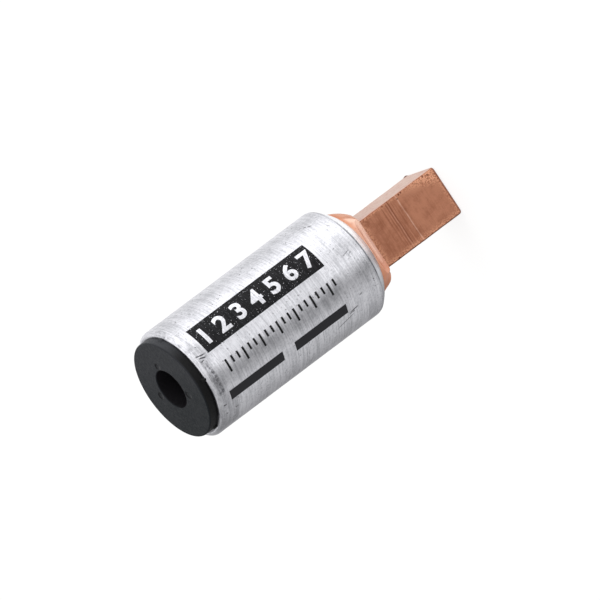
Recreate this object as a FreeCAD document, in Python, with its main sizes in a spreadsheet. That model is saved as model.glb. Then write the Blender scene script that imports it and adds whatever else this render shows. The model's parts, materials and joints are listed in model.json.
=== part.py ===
import FreeCAD, Part
import os

import Sketcher

# Bimetallic pin terminal: an aluminium barrel that is crimped on an aluminium cable, friction welded
# to a solid copper pin that goes into a copper clamp, with a rubber cap in the barrel's mouth.
# The part stands on the end of its pin. Z runs up the pin and the barrel to the cable mouth.
# The pin's broad faces look along Y, its narrow faces along X. Lengths are in millimetres.

SIZES = {
    "barrel_diameter": (16.0, "outside of the aluminium barrel"),
    "barrel_length": (30.2, "from the weld to the cable mouth"),
    "mouth_chamfer": (0.5, "broken edge at the cable mouth"),
    "weld_chamfer": (1.5, "bevel at the welded end, down to the copper shoulder"),
    "bore_diameter": (5.3, "hole for the bare conductor"),
    "end_wall": (5.0, "from the bore's full diameter to the weld"),
    "drill_angle": (118.0, "angle of the drill point at the bore's bottom"),
    "seat_diameter": (9.0, "counterbore that takes the cap's stem"),
    "seat_spare_depth": (0.3, "room below the cap's stem"),
    "pin_width": (7.1, "narrow face to narrow face"),
    "pin_thickness": (7.6, "broad face to broad face"),
    "pin_length": (13.2, "from the tip to the shoulder's front"),
    "tip_round": (0.35, "rounding round the tip's face"),
    "shoulder_height": (2.2, "from the shoulder's front to the weld"),
    "shoulder_taper": (1.15, "how far the dome draws in from the weld to its front"),
    "shoulder_round": (0.3, "rounding round the shoulder's front"),
    "runout_height": (0.8, "steep part of the run-outs beside the broad faces, along the axis"),
    "runout_angle": (25.0, "slope of that steep part, from the axis"),
    "relief_angle": (61.0, "slope of the flatter part that leads to the weld, from the axis"),
    "cap_diameter": (14.3, "outside of the cap's flange"),
    "cap_thickness": (1.3, "flange of the cap"),
    "cap_edge_round": (0.2, "rounding of the flange's outer front edge"),
    "stem_length": (3.0, "part of the cap inside the barrel"),
    "stem_clearance": (0.05, "between the stem and its seat, on the radius"),
    "stem_lead": (0.4, "bevel at the stem's inner end"),
    "cap_hole_clearance": (0.2, "how far the cap's hole clears the bore, on the radius"),
    "mark_diameter": (1.0, "round marks that ejector pins left in the cap"),
    "mark_depth": (0.08, "depth of those marks"),
    "mark_circle_radius": (3.6, "distance of the marks from the axis"),
    "mark_1_angle": (-5.0, "place of the first mark round the axis"),
    "mark_2_angle": (93.5, "place of the second mark"),
    "mark_3_angle": (-111.0, "place of the third mark"),
    "nub_diameter": (0.6, "moulding nubs at the back edge of the flange"),
    "nub_height": (0.4, "length of a nub along the axis"),
    "nub_reach": (0.18, "how far a nub stands out of the flange"),
    "nub_start_angle": (-161.0, "place of the first nub round the axis"),
    "nub_spacing": (68.0, "angle from one nub to the next"),
    "nub_count": (3, "number of nubs"),
}

WELD_HEIGHT = "(Sizes.pin_length + Sizes.shoulder_height)"
WELD_RADIUS = "(Sizes.barrel_diameter / 2 - Sizes.weld_chamfer)"
NEAR = 1e-4


def size(name):
    """A size's value, for first guesses in sketches and for finding edges."""
    return SIZES[name][0]


def fill_sheet(doc):
    """Writes the sizes, with their aliases and notes, into the part's sheet."""
    sheet = doc.addObject("Spreadsheet::Sheet", "Sizes")
    for row, (name, (value, note)) in enumerate(SIZES.items(), 1):
        sheet.set(f"A{row}", name)
        sheet.set(f"B{row}", str(value))
        sheet.set(f"C{row}", note)
        sheet.setAlias(f"B{row}", name)
    doc.recompute()


def add_body(doc, label, height=None):
    """A body with its own label, lifted to its place on the common axis."""
    body = doc.addObject("PartDesign::Body", label)
    body.Label = label
    if height:
        body.setExpression("Placement.Base.z", height)
    return body


def add_sketch(body, name, role, height=None):
    """A sketch on one of the body's own origin planes, or parallel to it at a height."""
    planes = [item for item in body.Origin.OriginFeatures if item.Role == role]
    sketch = body.newObject("Sketcher::SketchObject", name)
    sketch.AttachmentSupport = [(planes[0], "")]
    sketch.MapMode = "FlatFace"
    if height:
        sketch.setExpression("AttachmentOffset.Base.z", height)
    return sketch


def bind(sketch, name, constraint, expression):
    """Adds a named dimension to a sketch and ties it to the sheet."""
    index = sketch.addConstraint(constraint)
    sketch.renameConstraint(index, name)
    sketch.setExpression(f"Constraints.{name}", expression)


def centred_circle(sketch, guess, expression):
    """A circle round the sketch's origin."""
    circle = sketch.addGeometry(Part.Circle(FreeCAD.Vector(), FreeCAD.Vector(0, 0, 1), guess / 2))
    sketch.addConstraint(Sketcher.Constraint("Coincident", circle, 3, -1, 1))
    bind(sketch, "diameter", Sketcher.Constraint("Diameter", circle, guess), expression)


def circle_at(sketch, tag, radius, angle, diameter):
    """A circle at a distance and an angle from the origin. Each value is (guess, expression)."""
    direction = FreeCAD.Rotation(FreeCAD.Vector(0, 0, 1), angle[0])
    centre = direction.multVec(FreeCAD.Vector(radius[0], 0, 0))
    arm = sketch.addGeometry(Part.LineSegment(FreeCAD.Vector(), centre), True)
    sketch.addConstraint(Sketcher.Constraint("Coincident", arm, 1, -1, 1))
    circle = sketch.addGeometry(Part.Circle(centre, FreeCAD.Vector(0, 0, 1), diameter[0] / 2))
    sketch.addConstraint(Sketcher.Constraint("Coincident", circle, 3, arm, 2))
    turn = FreeCAD.Units.Quantity(angle[0], FreeCAD.Units.Angle)
    bind(sketch, f"reach_{tag}", Sketcher.Constraint("Distance", arm, radius[0]), radius[1])
    bind(sketch, f"angle_{tag}", Sketcher.Constraint("Angle", arm, turn), angle[1])
    bind(sketch, f"diameter_{tag}", Sketcher.Constraint("Diameter", circle, diameter[0]), diameter[1])


def closed_outline(sketch, points):
    """Straight lines from point to point and back to the first. Returns their numbers."""
    ends = points[1:] + points[:1]
    lines = [sketch.addGeometry(Part.LineSegment(a, b)) for a, b in zip(points, ends)]
    for number, line in enumerate(lines):
        following = lines[(number + 1) % len(lines)]
        sketch.addConstraint(Sketcher.Constraint("Coincident", line, 2, following, 1))
    return lines


def pad(body, name, sketch, length, downwards=False):
    """Extrudes a sketch away from its plane."""
    feature = body.newObject("PartDesign::Pad", name)
    feature.Profile = sketch
    feature.setExpression("Length", length)
    feature.Reversed = downwards
    return feature


def pocket(body, name, sketch, length, side="One side"):
    """Cuts a sketch out of the body, down from its plane or evenly on both sides of it."""
    feature = body.newObject("PartDesign::Pocket", name)
    feature.Profile = sketch
    feature.SideType = side
    feature.setExpression("Length", length)
    return feature


def edges_like(feature, fits):
    """Names of the edges of a feature that pass a test."""
    names = [f"Edge{n}" for n, edge in enumerate(feature.Shape.Edges, 1) if fits(edge)]
    if not names:
        raise RuntimeError(f"{feature.Name} has no such edge")
    return names


def is_circle(edge, radius, height):
    """True for a circle of this radius round the Z axis at this height."""
    curve = edge.Curve
    if not isinstance(curve, Part.Circle):
        return False
    return abs(curve.Radius - radius) < NEAR and abs(curve.Center.z - height) < NEAR


def lies_flat(edge, height):
    """True for an edge whose every end lies at this height."""
    return all(abs(vertex.Z - height) < NEAR for vertex in edge.Vertexes)


def dress(body, kind, name, base, fits, property_name, expression):
    """Chamfers or rounds the edges of base that pass the test."""
    feature = body.newObject(f"PartDesign::{kind}", name)
    feature.Base = (base, edges_like(base, fits))
    feature.setExpression(property_name, expression)
    return feature


def check_removed(doc, before, after):
    """Stops the build if a cut took nothing away."""
    doc.recompute()
    if not after.Shape.Volume < before.Shape.Volume - NEAR:
        raise RuntimeError(f"{after.Name} cuts nothing")


def make_barrel(doc):
    """Turned aluminium bar with a blind bore and a counterbored mouth."""
    body = add_body(doc, "barrel", WELD_HEIGHT)
    outline = add_sketch(body, "BarrelOutline", "XY_Plane")
    centred_circle(outline, size("barrel_diameter"), "Sizes.barrel_diameter")
    bar = pad(body, "Bar", outline, "Sizes.barrel_length")
    doc.recompute()

    mouth = add_sketch(body, "MouthSketch", "XY_Plane", "Sizes.barrel_length")
    centred_circle(mouth, size("bore_diameter"), "Sizes.bore_diameter")
    doc.recompute()
    bore = body.newObject("PartDesign::Hole", "Bore")
    bore.Profile = mouth
    bore.DepthType = "Dimension"
    bore.HoleCutType = "Counterbore"
    bore.HoleCutCustomValues = True
    bore.DrillPoint = "Angled"
    bore.setExpression("Diameter", "Sizes.bore_diameter")
    bore.setExpression("Depth", "Sizes.barrel_length - Sizes.end_wall")
    bore.setExpression("DrillPointAngle", "Sizes.drill_angle")
    bore.setExpression("HoleCutDiameter", "Sizes.seat_diameter")
    bore.setExpression("HoleCutDepth", "Sizes.stem_length + Sizes.seat_spare_depth")
    check_removed(doc, bar, bore)

    radius = size("barrel_diameter") / 2
    mouth_edge = dress(body, "Chamfer", "MouthChamfer", bore,
                       lambda edge: is_circle(edge, radius, size("barrel_length")),
                       "Size", "Sizes.mouth_chamfer")
    check_removed(doc, bore, mouth_edge)
    weld_edge = dress(body, "Chamfer", "WeldChamfer", mouth_edge,
                      lambda edge: is_circle(edge, radius, 0),
                      "Size", "Sizes.weld_chamfer")
    check_removed(doc, mouth_edge, weld_edge)
    return body


def draw_dome(sketch):
    """Half section of the shoulder: a ball's zone between the weld and the front plane."""
    front = size("pin_length")
    weld = front + size("shoulder_height")
    weld_radius = size("barrel_diameter") / 2 - size("weld_chamfer")
    front_radius = weld_radius - size("shoulder_taper")
    rise = (weld_radius ** 2 - front_radius ** 2 - size("shoulder_height") ** 2)
    centre = FreeCAD.Vector(0, weld + rise / (2 * size("shoulder_height")), 0)
    ball = Part.Circle(centre, FreeCAD.Vector(0, 0, 1), centre.distanceToPoint(
        FreeCAD.Vector(weld_radius, weld, 0)))
    start = ball.parameter(FreeCAD.Vector(front_radius, front, 0))
    end = ball.parameter(FreeCAD.Vector(weld_radius, weld, 0))

    arc = sketch.addGeometry(Part.ArcOfCircle(ball, start, end))
    top = sketch.addGeometry(Part.LineSegment(
        FreeCAD.Vector(weld_radius, weld, 0), FreeCAD.Vector(0, weld, 0)))
    axis = sketch.addGeometry(Part.LineSegment(
        FreeCAD.Vector(0, weld, 0), FreeCAD.Vector(0, front, 0)))
    face = sketch.addGeometry(Part.LineSegment(
        FreeCAD.Vector(0, front, 0), FreeCAD.Vector(front_radius, front, 0)))
    for first, second in ((arc, top), (top, axis), (axis, face), (face, arc)):
        sketch.addConstraint(Sketcher.Constraint("Coincident", first, 2, second, 1))
    sketch.addConstraint(Sketcher.Constraint("Horizontal", top))
    sketch.addConstraint(Sketcher.Constraint("Horizontal", face))
    sketch.addConstraint(Sketcher.Constraint("PointOnObject", axis, 1, -2))
    sketch.addConstraint(Sketcher.Constraint("PointOnObject", axis, 2, -2))
    sketch.addConstraint(Sketcher.Constraint("PointOnObject", arc, 3, -2))
    bind(sketch, "front_height", Sketcher.Constraint("DistanceY", -1, 1, face, 1, front),
         "Sizes.pin_length")
    bind(sketch, "height", Sketcher.Constraint("DistanceY", face, 1, top, 2, weld - front),
         "Sizes.shoulder_height")
    bind(sketch, "weld_radius", Sketcher.Constraint("DistanceX", top, 2, top, 1, weld_radius),
         WELD_RADIUS)
    bind(sketch, "front_radius", Sketcher.Constraint("DistanceX", face, 1, face, 2, front_radius),
         f"{WELD_RADIUS} - Sizes.shoulder_taper")


def draw_square(sketch):
    """Section of the pin, centred on the axis."""
    half_x = size("pin_width") / 2
    half_y = size("pin_thickness") / 2
    corners = [FreeCAD.Vector(-half_x, -half_y, 0), FreeCAD.Vector(half_x, -half_y, 0),
               FreeCAD.Vector(half_x, half_y, 0), FreeCAD.Vector(-half_x, half_y, 0)]
    bottom, right, top, left = closed_outline(sketch, corners)
    for line in (bottom, top):
        sketch.addConstraint(Sketcher.Constraint("Horizontal", line))
    for line in (right, left):
        sketch.addConstraint(Sketcher.Constraint("Vertical", line))
    sketch.addConstraint(Sketcher.Constraint("Symmetric", bottom, 1, top, 1, -1, 1))
    bind(sketch, "width", Sketcher.Constraint("DistanceX", bottom, 1, bottom, 2, 2 * half_x),
         "Sizes.pin_width")
    bind(sketch, "thickness", Sketcher.Constraint("DistanceY", right, 1, right, 2, 2 * half_y),
         "Sizes.pin_thickness")


def draw_runout(sketch):
    """Wedge beside a broad face: a steep slope up from the shoulder's front, then a flatter one."""
    front = size("pin_length")
    inner = size("pin_thickness") / 2
    outer = size("barrel_diameter") / 2
    knee = FreeCAD.Vector((inner + outer) / 2, front + size("runout_height"), 0)
    corners = [FreeCAD.Vector(inner, front, 0), FreeCAD.Vector(outer, front, 0),
               FreeCAD.Vector(outer, front + outer - inner, 0), knee]
    base, side, relief, steep = closed_outline(sketch, corners)
    sketch.addConstraint(Sketcher.Constraint("Horizontal", base))
    sketch.addConstraint(Sketcher.Constraint("Vertical", side))
    bind(sketch, "front_height", Sketcher.Constraint("DistanceY", -1, 1, base, 1, front),
         "Sizes.pin_length")
    bind(sketch, "inner", Sketcher.Constraint("DistanceX", -1, 1, base, 1, inner),
         "Sizes.pin_thickness / 2")
    bind(sketch, "outer", Sketcher.Constraint("DistanceX", -1, 1, base, 2, outer),
         "Sizes.barrel_diameter / 2")
    bind(sketch, "knee_height", Sketcher.Constraint("DistanceY", base, 1, relief, 2, knee.y - front),
         "Sizes.runout_height")
    relief_turn = FreeCAD.Units.Quantity(size("relief_angle"), FreeCAD.Units.Angle)
    bind(sketch, "relief_slope", Sketcher.Constraint("Angle", relief, 1, side, 2, relief_turn),
         "Sizes.relief_angle")
    steep_turn = FreeCAD.Units.Quantity(90 - size("runout_angle"), FreeCAD.Units.Angle)
    bind(sketch, "steep_slope", Sketcher.Constraint("Angle", base, 1, steep, 2, steep_turn),
         "90 deg - Sizes.runout_angle * 1 deg")


def make_copper_pin(doc):
    """Square pin with a domed shoulder, cut back in two slopes beside each broad face."""
    body = add_body(doc, "copper_pin")
    section = add_sketch(body, "DomeSection", "XZ_Plane")
    draw_dome(section)
    dome = body.newObject("PartDesign::Revolution", "Dome")
    dome.Profile = section
    dome.ReferenceAxis = (section, ["V_Axis"])
    doc.recompute()

    square = add_sketch(body, "PinSection", "XY_Plane")
    draw_square(square)
    pad(body, "Pin", square, WELD_HEIGHT)
    doc.recompute()
    solid = body.Tip

    wedge = add_sketch(body, "RunoutWedge", "YZ_Plane")
    draw_runout(wedge)
    runout = pocket(body, "Runout", wedge, "Sizes.barrel_diameter", side="Symmetric")
    check_removed(doc, solid, runout)
    both = body.newObject("PartDesign::Mirrored", "RunoutPair")
    both.Originals = [runout]
    both.MirrorPlane = (square, ["H_Axis"])
    body.Tip = both
    check_removed(doc, runout, both)

    front_radius = size("barrel_diameter") / 2 - size("weld_chamfer") - size("shoulder_taper")
    shoulder = dress(body, "Fillet", "ShoulderRound", both,
                     lambda edge: is_circle(edge, front_radius, size("pin_length")),
                     "Radius", "Sizes.shoulder_round")
    check_removed(doc, both, shoulder)
    tip = dress(body, "Fillet", "TipRound", shoulder, lambda edge: lies_flat(edge, 0),
                "Radius", "Sizes.tip_round")
    check_removed(doc, shoulder, tip)
    return body


def make_sealing_cap(doc):
    """Moulded rubber cap: a flange on the barrel's end and a hollow stem in its mouth."""
    body = add_body(doc, "sealing_cap", f"{WELD_HEIGHT} + Sizes.barrel_length")
    rim = add_sketch(body, "FlangeOutline", "XY_Plane")
    centred_circle(rim, size("cap_diameter"), "Sizes.cap_diameter")
    pad(body, "Flange", rim, "Sizes.cap_thickness")

    stem_diameter = size("seat_diameter") - 2 * size("stem_clearance")
    stem_outline = add_sketch(body, "StemOutline", "XY_Plane")
    centred_circle(stem_outline, stem_diameter, "Sizes.seat_diameter - 2 * Sizes.stem_clearance")
    stem = pad(body, "Stem", stem_outline, "Sizes.stem_length", downwards=True)
    doc.recompute()
    lead = dress(body, "Chamfer", "StemLead", stem,
                 lambda edge: is_circle(edge, stem_diameter / 2, -size("stem_length")),
                 "Size", "Sizes.stem_lead")
    check_removed(doc, stem, lead)

    hole_diameter = size("bore_diameter") + 2 * size("cap_hole_clearance")
    hole_outline = add_sketch(body, "HoleOutline", "XY_Plane", "Sizes.cap_thickness")
    centred_circle(hole_outline, hole_diameter, "Sizes.bore_diameter + 2 * Sizes.cap_hole_clearance")
    hole = pocket(body, "ConductorHole", hole_outline, "Sizes.cap_thickness + Sizes.stem_length")
    check_removed(doc, lead, hole)

    edge_round = dress(body, "Fillet", "FlangeRound", hole,
                       lambda edge: is_circle(edge, size("cap_diameter") / 2, size("cap_thickness")),
                       "Radius", "Sizes.cap_edge_round")
    check_removed(doc, hole, edge_round)

    mark_sketch = add_sketch(body, "MarkOutlines", "XY_Plane", "Sizes.cap_thickness")
    for number in (1, 2, 3):
        angle = f"mark_{number}_angle"
        circle_at(mark_sketch, number,
                  (size("mark_circle_radius"), "Sizes.mark_circle_radius"),
                  (size(angle), f"Sizes.{angle}"),
                  (size("mark_diameter"), "Sizes.mark_diameter"))
    marks = pocket(body, "EjectorMarks", mark_sketch, "Sizes.mark_depth")
    check_removed(doc, edge_round, marks)

    nub_sketch = add_sketch(body, "NubOutline", "XY_Plane")
    nub_place = size("cap_diameter") / 2 + size("nub_reach") - size("nub_diameter") / 2
    circle_at(nub_sketch, "nub",
              (nub_place, "Sizes.cap_diameter / 2 + Sizes.nub_reach - Sizes.nub_diameter / 2"),
              (size("nub_start_angle"), "Sizes.nub_start_angle"),
              (size("nub_diameter"), "Sizes.nub_diameter"))
    nub = pad(body, "Nub", nub_sketch, "Sizes.nub_height")
    ring = body.newObject("PartDesign::PolarPattern", "NubRow")
    ring.Originals = [nub]
    ring.Axis = (nub_sketch, ["N_Axis"])
    ring.Mode = "Spacing"
    ring.setExpression("Offset", "Sizes.nub_spacing")
    ring.setExpression("Occurrences", "Sizes.nub_count")
    body.Tip = ring
    doc.recompute()
    return body


def check_document(doc, bodies):
    """Stops the build if anything in the document failed or a solid is not sound."""
    for item in doc.Objects:
        if "Invalid" in item.State or "Error" in item.State:
            raise RuntimeError(f"{item.Name} did not build")
    for body in bodies:
        shape = body.Shape
        if shape.isNull() or not shape.isValid() or len(shape.Solids) != 1:
            raise RuntimeError(f"{body.Label} is not one sound solid")


def write_parts(bodies):
    """Writes one STEP file for each piece and prints its size."""
    os.makedirs("parts", exist_ok=True)
    for body in bodies:
        body.Shape.exportStep(f"parts/{body.Label}.step")
        box = body.Shape.BoundBox
        print(f"{body.Label}: {body.Shape.Volume:.1f} mm3, z {box.ZMin:.2f} to {box.ZMax:.2f}")


def main():
    doc = FreeCAD.newDocument("pin_terminal")
    fill_sheet(doc)
    bodies = [make_copper_pin(doc), make_barrel(doc), make_sealing_cap(doc)]
    doc.recompute()
    check_document(doc, bodies)
    write_parts(bodies)


main()
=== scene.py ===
import json
from math import acos, asin, atan2, ceil, cos, hypot, pi, radians, sin, sqrt, tan
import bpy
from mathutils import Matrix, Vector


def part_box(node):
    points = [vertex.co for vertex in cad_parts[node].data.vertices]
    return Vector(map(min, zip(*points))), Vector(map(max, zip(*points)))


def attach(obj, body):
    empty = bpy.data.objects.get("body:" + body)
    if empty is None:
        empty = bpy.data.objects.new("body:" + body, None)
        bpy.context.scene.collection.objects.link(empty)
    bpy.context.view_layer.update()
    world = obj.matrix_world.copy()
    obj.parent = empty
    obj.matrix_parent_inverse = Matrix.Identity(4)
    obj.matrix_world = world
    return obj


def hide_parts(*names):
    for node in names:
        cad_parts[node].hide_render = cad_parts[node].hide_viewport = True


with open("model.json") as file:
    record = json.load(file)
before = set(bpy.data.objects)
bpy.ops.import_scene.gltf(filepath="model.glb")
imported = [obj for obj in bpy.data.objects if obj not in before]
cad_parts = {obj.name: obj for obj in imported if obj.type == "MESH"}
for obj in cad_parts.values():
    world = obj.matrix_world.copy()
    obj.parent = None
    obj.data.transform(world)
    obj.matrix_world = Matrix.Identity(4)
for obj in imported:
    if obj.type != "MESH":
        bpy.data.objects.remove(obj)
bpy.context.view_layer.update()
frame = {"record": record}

from types import SimpleNamespace

import bmesh
import bpy
import numpy as np
from mathutils import Matrix, Vector

# Looks of a bimetallic pin terminal: a turned aluminium barrel with printed marks, a copper pin with a
# domed shoulder and a black rubber cap. The scene is in metres, and the sizes below are in millimetres.
# Z runs from the pin's tip, at zero, up to the cable mouth. The front of the part looks along -Y.

MM = 0.001
SEED = 11


# Sizes that the frame gives

def span(node):
    """Lowest and highest corner of a CAD node, in millimetres."""
    low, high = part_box(node)
    return np.array(low) / MM, np.array(high) / MM


def mount(name):
    """Place in millimetres and dimensions of one of the part's mounts."""
    found = next(m for m in frame["record"]["mounts"] if m["name"] == name)
    return np.array(found["pos_m"]) / MM, found["dims"]


BARREL_RADIUS = mount("crimp_barrel")[1]["r_mm"]
BORE_MIDDLE, BORE = mount("cable_bore")
BORE_RADIUS = BORE["r_mm"]
BORE_BOTTOM = BORE_MIDDLE[2] - BORE["length_mm"] / 2
SEAT_BOTTOM = BORE_MIDDLE[2] + BORE["length_mm"] / 2
HOLE_RADIUS = mount("cap_hole")[1]["r_mm"]
PIN_HALF_WIDTH = mount("pin_right_flat")[0][0]
PIN_HALF_THICKNESS = mount("pin_back_flat")[0][1]
WELD_RADIUS = span("copper_pin")[1][0]
WELD_HEIGHT = span("barrel")[0][2]
MOUTH_HEIGHT = span("barrel")[1][2]
CAP_FACE_HEIGHT = span("sealing_cap")[1][2]
STEM_END_HEIGHT = span("sealing_cap")[0][2]

# Sizes that the frame doesn't give, as in the part's source

MOUTH_CHAMFER = 0.5
DRILL_ANGLE = 118.0
SEAT_RADIUS = 4.5
SHOULDER_HEIGHT = 2.2
SHOULDER_TAPER = 1.15
SHOULDER_ROUND = 0.3
RUNOUT_HEIGHT = 0.8
RUNOUT_ANGLE = 25.0
RELIEF_ANGLE = 61.0
TIP_ROUND = 0.35
CAP_RADIUS = 7.15
MARK_RADIUS = 0.5
MARK_DEPTH = 0.08
MARK_CIRCLE = 3.6
MARK_ANGLES = (-5.0, 93.5, -111.0)
CAP_EDGE_ROUND = 0.2
STEM_CLEARANCE = 0.05
STEM_LEAD = 0.4

# Places that follow from these

BEVEL_TOP = WELD_HEIGHT + BARREL_RADIUS - WELD_RADIUS
SHOULDER_FRONT = WELD_HEIGHT - SHOULDER_HEIGHT
FRONT_RADIUS = WELD_RADIUS - SHOULDER_TAPER
# The ball that the shoulder's dome is a part of has its centre this far above the weld.
BALL_RISE = (WELD_RADIUS ** 2 - FRONT_RADIUS ** 2 - SHOULDER_HEIGHT ** 2) / (2 * SHOULDER_HEIGHT)
BALL_HEIGHT = WELD_HEIGHT + BALL_RISE
BALL_RADIUS = hypot(WELD_RADIUS, BALL_RISE)
MARK_PLACES = [(MARK_CIRCLE * cos(a), MARK_CIRCLE * sin(a)) for a in np.radians(MARK_ANGLES)]


# Sections and rings

def unit(vector):
    return vector / np.linalg.norm(vector)


def off_axis(points):
    """Distance of points from the part's axis."""
    return np.linalg.norm(points[..., :2], axis=-1)


def fillet(before, corner, after, radius, steps=5):
    """Points of the arc that rounds a corner of a section."""
    inward, outward = unit(before - corner), unit(after - corner)
    half = acos(np.clip(inward @ outward, -1, 1)) / 2
    centre = corner + unit(inward + outward) * radius / sin(half)
    start = corner + inward * radius / tan(half) - centre
    end = corner + outward * radius / tan(half) - centre
    sweep = pi - 2 * half
    share = np.linspace(0, 1, steps + 1)[:, None]
    return centre + (np.sin((1 - share) * sweep) * start + np.sin(share * sweep) * end) / sin(sweep)


def divided(points, spacing):
    """The points with each run longer than its spacing divided evenly. spacing is one per run."""
    out = [points[0]]
    for start, end, step in zip(points[:-1], points[1:], spacing):
        count = max(1, ceil(np.linalg.norm(end - start) / step))
        out += [start + (end - start) * n / count for n in range(1, count + 1)]
    return np.array(out)


def section(corners, closed=False):
    """A half section. Each corner is (radius, height, rounding, spacing of the run that follows).
    The two ends of an open section have no rounding."""
    places = [np.array(corner[:2], float) for corner in corners]
    points, spacing = [], []
    for number, (_, _, rounding, step) in enumerate(corners):
        arc = [places[number]]
        if rounding:
            after = places[(number + 1) % len(places)]
            arc = list(fillet(places[number - 1], places[number], after, rounding))
        points += arc
        spacing += [rounding] * (len(arc) - 1) + [step]
    if closed:
        return divided(points + points[:1], spacing)[:-1]
    return divided(points, spacing)


def turned(outline, angles):
    """Rings of points from a half section turned round Z."""
    radius, height = outline[:, :1], outline[:, 1:]
    return np.stack([radius * np.cos(angles), radius * np.sin(angles), height + 0 * angles], axis=-1)


def raised(points, height, wrap=False):
    """The points of a grid of rings, moved outwards by a height for each."""
    around = np.roll(points, -1, axis=1) - np.roll(points, 1, axis=1)
    if wrap:
        along = np.roll(points, -1, axis=0) - np.roll(points, 1, axis=0)
    else:
        along = np.gradient(points, axis=0)
    normal = np.cross(around, along)
    length = np.linalg.norm(normal, axis=-1, keepdims=True)
    return points + normal / np.maximum(length, 1e-9) * height[..., None]


def ring_mesh(name, points, material, wrap=False):
    """A closed mesh from rings of points. wrap joins the last ring to the first.
    Without it, both end rings lie on the axis and each becomes one point."""
    count, around = points.shape[:2]
    places = points.reshape(-1, 3)
    index = np.arange(count * around).reshape(count, around)
    if wrap:
        index = np.concatenate([index, index[:1]])
    else:
        places = np.concatenate([points[0, :1], points[1:-1].reshape(-1, 3), points[-1, :1]])
        index = index[1:-1] - around + 1
    below, above = index[:-1], index[1:]
    quads = np.stack([below, np.roll(below, -1, 1), np.roll(above, -1, 1), above], -1)
    faces = quads.reshape(-1, 4).tolist()
    if not wrap:
        top = len(places) - 1
        faces += [(0, b, a) for a, b in zip(index[0].tolist(), np.roll(index[0], -1).tolist())]
        faces += [(top, a, b) for a, b in zip(index[-1].tolist(), np.roll(index[-1], -1).tolist())]
    return make_object(name, places, faces, material)


def add_object(name, data):
    added = bpy.data.objects.new(name, data)
    bpy.context.scene.collection.objects.link(added)
    return added


def make_object(name, places, faces, material):
    """An object in the scene from points in millimetres."""
    mesh = bpy.data.meshes.new(name)
    mesh.from_pydata((places * MM).tolist(), [], faces)
    mesh.update()
    mesh.shade_smooth()
    mesh.materials.append(material)
    return add_object(name, mesh)


# Small unevenness of real surfaces

def ripple(along, waves):
    """Sum of waves along a line. Each wave is (length, height, phase)."""
    return sum(height * np.sin(2 * pi * along / length + phase) for length, height, phase in waves)


# Node helper

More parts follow.
